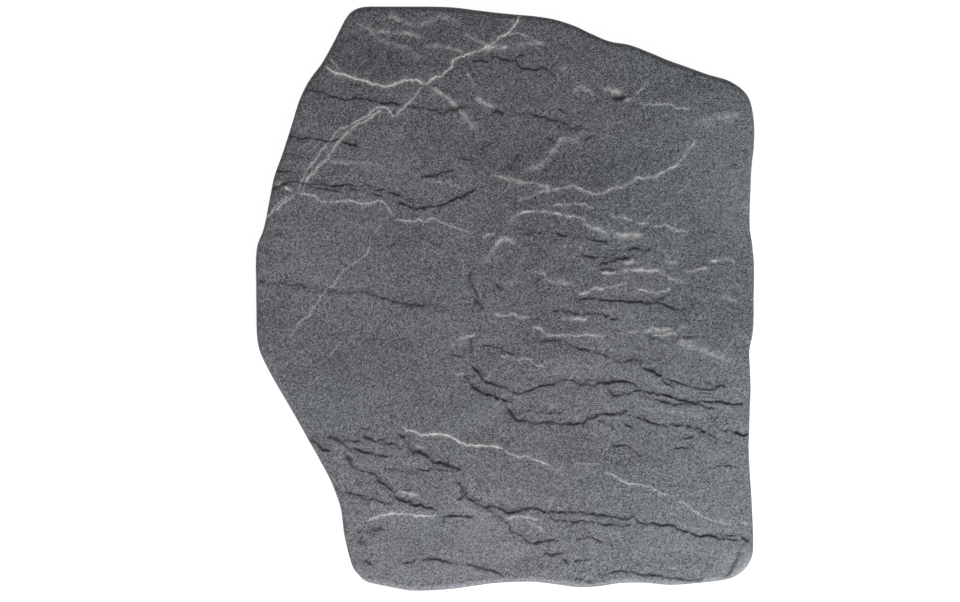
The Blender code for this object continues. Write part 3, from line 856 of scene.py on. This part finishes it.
def wall_band(loop, normal):
    """The wall from the upper arris down, and a quarter circle under it: each ring is the
    outline moved along its normals by the wall's relief, which dies out at both ends."""
    foot = THICKNESS - UPPER_ARRIS_RADIUS
    levels = list(np.linspace(foot, LOWER_ARRIS_RADIUS, WALL_STEPS + 1))
    insets = [0.0] * len(levels)
    for step in range(1, LOWER_ARRIS_STEPS + 1):
        turn = 0.5 * np.pi * step / LOWER_ARRIS_STEPS
        levels.append(LOWER_ARRIS_RADIUS * (1 - np.sin(turn)))
        insets.append(LOWER_ARRIS_RADIUS * (1 - np.cos(turn)))
    z = np.array(levels)[:, None] + np.zeros((1, len(loop)))
    gap = np.hypot(*(loop - np.roll(loop, 1, axis=0)).T)
    run = np.cumsum(gap)[None] + np.zeros(z.shape)
    join = smooth_step(run / WALL_JOIN) * smooth_step((run.max() - run) / WALL_JOIN)
    fade = smooth_step((foot - z) / WALL_FADE) * smooth_step(z / WALL_FADE) * (.3 + .7 * join)
    relief = fade * (wall_relief(run, z) * join - .25)
    moved = loop[None] + (relief - np.array(insets)[:, None])[..., None] * normal[None]
    moved[-1, 1::2] = (moved[-1, ::2] + np.roll(moved[-1, ::2], -1, axis=0)) / 2
    # Painted rim light and shade, carried over the wall's top RIM_WIDTH millimetres
    painted_rim = smooth_step((z - foot + RIM_WIDTH) / RIM_WIDTH) * painted_rim_light_and_shade(normal)
    # The cleft mark on the wall is painted shade where the wall stands in
    return np.dstack([moved, z]), {"cleft": smooth_step(-1.5 * relief - .35),
                                   "tone": painted_rim + .5 * cloud(run, z, 40, 2.2, 66),
                                   "vein_and_highlight": np.zeros(z.shape)}


def bedding_face(x, y, rim):
    """The roughly split underside at each place: its height, never below zero and zero at
    its rim, from soft waves, ridges and the edges of thin leaves, and its shades: painted shade
    along leaf edges and splits, and a random tone."""
    leaves, edge = leaf_edges(1.4 * x + 300, 1.4 * y - 200)
    rough = .42 + .20 * cloud(x, y, 46, 30, 71, 8) + .14 * cloud(x, y, 12, 8, 72, -14)
    ridge = .14 * np.abs(cloud(x, y, 30, 6, 73, -5)) + .05 * cloud(x, y, 3, 2.6, 74, 25)
    height = np.maximum(rough + ridge + 1.6 * leaves, 0) * rim
    split = smooth_step(2.6 * np.abs(cloud(x, y, 60, 9, 75, -5) + .12 * cloud(x, y, 7, 5, 77)))
    # Painted shade along leaf edges and along thin split lines
    shade = np.maximum(2 * edge, .35 * (1 - smooth_step(6 * split)))
    tone = .6 * cloud(x, y, 50, 34, 76) + .5 * cloud(x, y, 15, 9, 78)
    return height, {"cleft": shade, "vein_and_highlight": np.zeros(x.shape), "tone": tone}


def rim_fade(rows, columns):
    """0 on the border of a grid, rising smoothly to 1 within a twentieth of it."""
    i, j = np.meshgrid(np.arange(rows), np.arange(columns), indexing="ij")
    edge = np.minimum(np.minimum(i, rows - 1 - i) / rows, np.minimum(j, columns - 1 - j) / columns)
    return smooth_step(edge * 20)


# Materials

class Nodes:
    """Short ways to place and join shader nodes in one tree."""

    def __init__(self, tree):
        self.tree = tree
        tree.nodes.clear()

    def put(self, kind, **settings):
        """A new node with the given settings."""
        node = self.tree.nodes.new(kind)
        for key, value in settings.items():
            setattr(node, key, value)
        return node

    def join(self, source, target):
        """A link from an output to an input."""
        self.tree.links.new(source, target)

    def fill(self, sockets, *values):
        """A link or a plain value for each socket."""
        for socket, value in zip(sockets, values):
            if isinstance(value, bpy.types.NodeSocket):
                self.join(value, socket)
            else:
                socket.default_value = value

    def sum(self, operation, *values):
        """One step of arithmetic."""
        node = self.put("ShaderNodeMath", operation=operation)
        self.fill(node.inputs, *values)
        return node.outputs[0]

    def mix(self, factor, a, b):
        """Colour a towards colour b."""
        node = self.put("ShaderNodeMix", data_type="RGBA")
        self.fill((node.inputs[0], node.inputs[6], node.inputs[7]), factor, a, b)
        return node.outputs[2]

    def spread(self, value, low, high, to_low, to_high):
        """The value's range stretched to another one and held within it."""
        node = self.put("ShaderNodeMapRange", clamp=True)
        self.fill(node.inputs, value, low, high, to_low, to_high)
        return node.outputs[0]

    def noise(self, place, scale, detail=2.0, roughness=.5):
        """Soft noise from 0 to 1."""
        node = self.put("ShaderNodeTexNoise")
        sockets = [node.inputs[label] for label in ("Vector", "Scale", "Detail", "Roughness")]
        self.fill(sockets, place, scale, detail, roughness)
        return node.outputs["Fac"]

    def grains(self, place, scale):
        """Two random numbers for each grain-shaped cell."""
        node = self.put("ShaderNodeTexVoronoi")
        self.fill((node.inputs["Vector"], node.inputs["Scale"]), place, scale)
        apart = self.put("ShaderNodeSeparateColor")
        self.join(node.outputs["Color"], apart.inputs[0])
        return apart.outputs[0], apart.outputs[1]

    def turned(self, place, degrees, scale):
        """Places turned about Z, then scaled."""
        turn, stretch = self.put("ShaderNodeMapping"), self.put("ShaderNodeMapping")
        self.fill((turn.inputs["Vector"], turn.inputs["Rotation"]),
                  place, (0, 0, np.radians(degrees)))
        self.fill((stretch.inputs["Vector"], stretch.inputs["Scale"]), turn.outputs[0], scale)
        return stretch.outputs[0]


def new_group(name, inputs, outputs):
    """An empty shader group with float or colour sockets."""
    tree = bpy.data.node_groups.new(name, "ShaderNodeTree")
    work = Nodes(tree)
    for label, default in inputs.items():
        kind = "NodeSocketColor" if isinstance(default, tuple) else "NodeSocketFloat"
        socket = tree.interface.new_socket(label, in_out="INPUT", socket_type=kind)
        socket.default_value = default
    for label, kind in outputs.items():
        tree.interface.new_socket(label, in_out="OUTPUT", socket_type="NodeSocket" + kind)
    return work, work.put("NodeGroupInput").outputs, work.put("NodeGroupOutput").inputs


def sandy_grain_group():
    """Slate's sandy grain on the slab's own coordinates: a random shade for each small grain,
    rare bright flakes, grit, crossing hatching left by the split, and soft blotches."""
    inputs = {"Grit": 1.0, "Hatching": 1.0, "Grains": 1.0}
    outputs = {"Speckle": "Float", "Blotch": "Float", "Height": "Float"}
    work, given, out = new_group("sandy_grain", inputs, outputs)
    place = work.put("ShaderNodeTexCoord").outputs["Object"]
    grit = work.sum("SUBTRACT", work.noise(place, GRIT_SCALE, 2.0, .8), .5)
    coarse = work.sum("SUBTRACT", work.noise(place, COARSE_SCALE, 1.0), .5)
    hatches = [work.noise(work.turned(place, degrees, HATCH_SCALE), 1.0, 1.0)
               for degrees in (48, -42)]
    hatch = work.sum("SUBTRACT", work.sum("ADD", *hatches), 1.0)
    hatch = work.sum("MULTIPLY", hatch, given["Hatching"])
    grit = work.sum("MULTIPLY", grit, given["Grit"])
    relief = work.sum("ADD", work.sum("MULTIPLY_ADD", coarse, .14, grit), hatch)
    shade, rarity = work.grains(place, GRAIN_SCALE)
    shade = work.sum("MULTIPLY_ADD", shade, .50, -.27)
    shade = work.sum("ADD", shade, work.spread(rarity, .93, .98, 0, .40))
    work.join(work.sum("MULTIPLY_ADD", shade, given["Grains"], relief), out["Speckle"])
    work.join(work.noise(place, BLOTCH_SCALE, 4.0, .6), out["Blotch"])
    work.join(relief, out["Height"])
    return work.tree


def slate_colour_group():
    """Slate's colour: between a dark and a light grey by a level that sums tone, blotch,
    speckle and a painted light falloff across the slab, darker to the far side and lighter to the
    right; cooler on the right; darker with painted shade and some dirt in clefts, and pale on
    veins, scratches and the painted highlights of lips, both broken up by grain."""
    inputs = {"Dark": (.0145, .0155, .0170, 1), "Light": (.232, .253, .274, 1),
              "Warm Light": (.248, .244, .273, 1), "Cleft Shade And Dirt Colour": (.012, .012, .014, 1),
              "Vein And Highlight Colour": (.50, .505, .49, 1), "Speckle": 0.0, "Blotch": .5,
              "Speckle Strength": 1.0}
    work, given, out = new_group("slate_colour", inputs, {"Color": "Color", "Vein And Highlight": "Float"})
    tone, cleft, vein_and_highlight = (work.put("ShaderNodeAttribute", attribute_name=mark).outputs["Fac"]
                         for mark in ("tone", "cleft", "vein_and_highlight"))
    place = work.put("ShaderNodeTexCoord").outputs["Object"]
    apart = work.put("ShaderNodeSeparateXYZ")
    work.join(place, apart.inputs[0])
    # Painted light falloff across the slab: darker towards the far side, lighter to the right
    slope = work.sum("MULTIPLY", apart.outputs["Y"], PAINTED_FALLOFF_Y)
    slope = work.sum("MULTIPLY_ADD", apart.outputs["X"], PAINTED_FALLOFF_X, slope)
    blotch = work.sum("MULTIPLY_ADD", given["Blotch"], BLOTCH_GAIN, -BLOTCH_GAIN / 2)
    level = work.sum("ADD", work.sum("MULTIPLY_ADD", tone, TONE_GAIN, LEVEL_MIDDLE), slope)
    level = work.sum("ADD", level, blotch)
    level = work.sum("MULTIPLY_ADD", given["Speckle"], given["Speckle Strength"], level)
    warmth = work.spread(work.noise(place, WARMTH_SCALE, 3.0, .6), .38, .62, .38, .82)
    cooler = work.spread(apart.outputs["X"], .02, .19, 0, .7)
    warmth = work.spread(work.sum("SUBTRACT", warmth, cooler), 0, 1, 0, 1)
    light = work.mix(warmth, given["Light"], given["Warm Light"])
    stone = work.mix(work.spread(level, 0, 1, 0, 1), given["Dark"], light)
    broken = work.spread(work.noise(place, GRIT_SCALE, 2.0, .9), .37, .63, 0, 1)
    ragged = work.sum("MULTIPLY_ADD", broken, .9, .55)
    # Painted shade and some dirt from the cleft mark, made ragged by grain
    shade = work.spread(work.sum("MULTIPLY", cleft, ragged), 0, 1, 0, .9)
    stone = work.mix(shade, stone, given["Cleft Shade And Dirt Colour"])
    # Pale veins and scratches and the lips' painted highlights, made ragged by grain
    ragged = work.sum("MULTIPLY_ADD", broken, 1.9, .1)
    shown = work.spread(work.sum("MULTIPLY", vein_and_highlight, ragged), .02, 1, 0, .95)
    work.join(work.mix(shown, stone, given["Vein And Highlight Colour"]), out["Color"])
    work.join(shown, out["Vein And Highlight"])
    return work.tree


def slate_material(name, groups, values, roughness, relief):
    """Slate from the two groups: colour, a roughness that follows grain and veins, and a
    bump for the grain that is too fine for the mesh."""
    material = bpy.data.materials.new(name)
    material.use_nodes = True
    work = Nodes(material.node_tree)
    grain = work.put("ShaderNodeGroup", node_tree=groups["grain"])
    colour = work.put("ShaderNodeGroup", node_tree=groups["colour"])
    for label, value in values.items():
        node = grain if label in grain.inputs else colour
        node.inputs[label].default_value = value
    for label in ("Speckle", "Blotch"):
        work.join(grain.outputs[label], colour.inputs[label])
    shader = work.put("ShaderNodeBsdfPrincipled")
    work.join(colour.outputs["Color"], shader.inputs["Base Color"])
    rough = work.sum("MULTIPLY_ADD", grain.outputs["Speckle"], .25, roughness)
    rough = work.sum("MULTIPLY_ADD", colour.outputs["Vein And Highlight"], -.15, rough)
    work.join(work.spread(rough, 0, 1, 0, 1), shader.inputs["Roughness"])
    bump = work.put("ShaderNodeBump")
    bump.inputs["Strength"].default_value = 1.0
    bump.inputs["Distance"].default_value = relief
    work.join(grain.outputs["Height"], bump.inputs["Height"])
    work.join(bump.outputs[0], shader.inputs["Normal"])
    shader.inputs["Specular IOR Level"].default_value = .35
    out = work.put("ShaderNodeOutputMaterial")
    work.join(shader.outputs[0], out.inputs["Surface"])
    return material


def slate_materials():
    """The split face, the dressed edge and the underside, from the same two groups."""
    groups = {"grain": sandy_grain_group(), "colour": slate_colour_group()}
    face = {"Grit": .8, "Hatching": .6, "Grains": 1.65, "Speckle Strength": .9}
    edge = {"Grit": 1.0, "Hatching": .2, "Grains": 1.0, "Speckle Strength": .7}
    under = {"Grit": 1.0, "Hatching": .5, "Grains": 1.1, "Speckle Strength": .7}
    return (slate_material("split_slate", groups, face, .62, .00012),
            slate_material("dressed_slate", groups, edge, .68, .00016),
            slate_material("bedding_slate", groups, under, .70, .00014))


def build_slab():
    """All surfaces of the slab, which meet along shared points and share their normals."""
    split, dressed, bedding = slate_materials()
    loop = outline_loop()
    normal = outward(loop)
    count = len(loop)

    flat = filled_sheet(loop - RIM_WIDTH * normal, FACE_COLUMNS, FACE_ROWS)
    height, marks = split_face(flat[..., 0], flat[..., 1])
    face = np.dstack([flat, THICKNESS + height])
    face_normals = grid_normals(face)
    rows = FACE_ROWS // FACE_BANDS
    for band in range(FACE_BANDS):
        part = slice(band * rows, (band + 1) * rows + 1)
        skin(f"split_face_{band + 1}", face[part], face_normals[part],
             {k: v[part] for k, v in marks.items()}, split, flat_map(face[part]))

    border = np.vstack([face_normals[0, :-1], face_normals[:-1, -1],
                        face_normals[-1, :0:-1], face_normals[:0:-1, 0]])
    outside = np.column_stack([normal, np.zeros(count)])[::-1]
    rim, rim_marks = turned_round(*band_to_edge(loop, normal))
    rim_normals = grid_normals(rim, True)
    rim_normals[0] = border[::-1]
    rim_normals[-1] = outside
    skin("rounded_arris", rim, rim_normals, rim_marks, split,
         folded_map(len(rim), count, ARRIS_FOLDS), True)

    wall, wall_marks = wall_band(loop, normal)
    ring = wall[-1, ::UNDERSIDE_STEP, :2]
    wall, wall_marks = turned_round(wall, wall_marks)
    wall_normals = grid_normals(wall, True)
    wall_normals[0] = outside
    wall_normals[-1] = (0, 0, -1)
    skin("dressed_edge", wall, wall_normals, wall_marks, dressed,
         folded_map(len(wall), count, WALL_FOLDS), True)

    columns, rows = FACE_COLUMNS // UNDERSIDE_STEP, FACE_ROWS // UNDERSIDE_STEP
    base = filled_sheet(ring, columns, rows)
    height, marks = bedding_face(base[..., 0], base[..., 1], rim_fade(rows + 1, columns + 1))
    under, marks = turned_round(np.dstack([base, height]), marks)
    skin("underside", under, grid_normals(under), marks, bedding, flat_map(under))


def floor_material():
    """Pale matt studio paper with a soft glow of its own, so that it stays near white."""
    material = bpy.data.materials.new("studio_paper")
    material.use_nodes = True
    shader = material.node_tree.nodes["Principled BSDF"]
    shader.inputs["Base Color"].default_value = (.2, .2, .2, 1)
    shader.inputs["Roughness"].default_value = .9
    shader.inputs["Emission Color"].default_value = (1, 1, 1, 1)
    shader.inputs["Emission Strength"].default_value = .9
    return material


def studio():
    """A pale floor, a broad soft key light from the near side, a soft even surround, and a
    camera that looks straight down, high enough to see VIEW_WIDTH at the face's height."""
    mesh = bpy.data.meshes.new("studio_floor")
    half = FLOOR_HALF
    corners = [(-half, -half, 0), (half, -half, 0), (half, half, 0), (-half, half, 0)]
    mesh.from_pydata(corners, [], [(0, 1, 2, 3)])
    mesh.materials.append(floor_material())
    floor = bpy.data.objects.new("studio_floor", mesh)
    floor.location.z = -.0005

    lamp = bpy.data.lights.new("key_light", "AREA")
    lamp.shape = "DISK"
    lamp.size = .5
    lamp.energy = 26
    key = bpy.data.objects.new("key_light", lamp)
    key.location = KEY_PLACE
    key.rotation_euler = (-key.location).to_track_quat("-Z", "Y").to_euler()

    world = bpy.data.worlds.new("soft_surround")
    world.use_nodes = True
    surround = world.node_tree.nodes["Background"]
    surround.inputs["Color"].default_value = (1, 1, 1, 1)
    surround.inputs["Strength"].default_value = .62
    bpy.context.scene.world = world
    bpy.context.scene.view_settings.view_transform = "Standard"

    lens = bpy.data.cameras.new("camera")
    lens.lens = 100
    lens.sensor_width = 36
    lens.dof.use_dof = False
    lens.clip_end = 20
    camera = bpy.data.objects.new("camera", lens)
    distance = VIEW_WIDTH * lens.lens / lens.sensor_width
    camera.location = (*VIEW_MIDDLE, FACE_LEVEL + distance)
    for thing in (floor, key, camera):
        bpy.context.scene.collection.objects.link(thing)
    bpy.context.scene.camera = camera


build_slab()
studio()
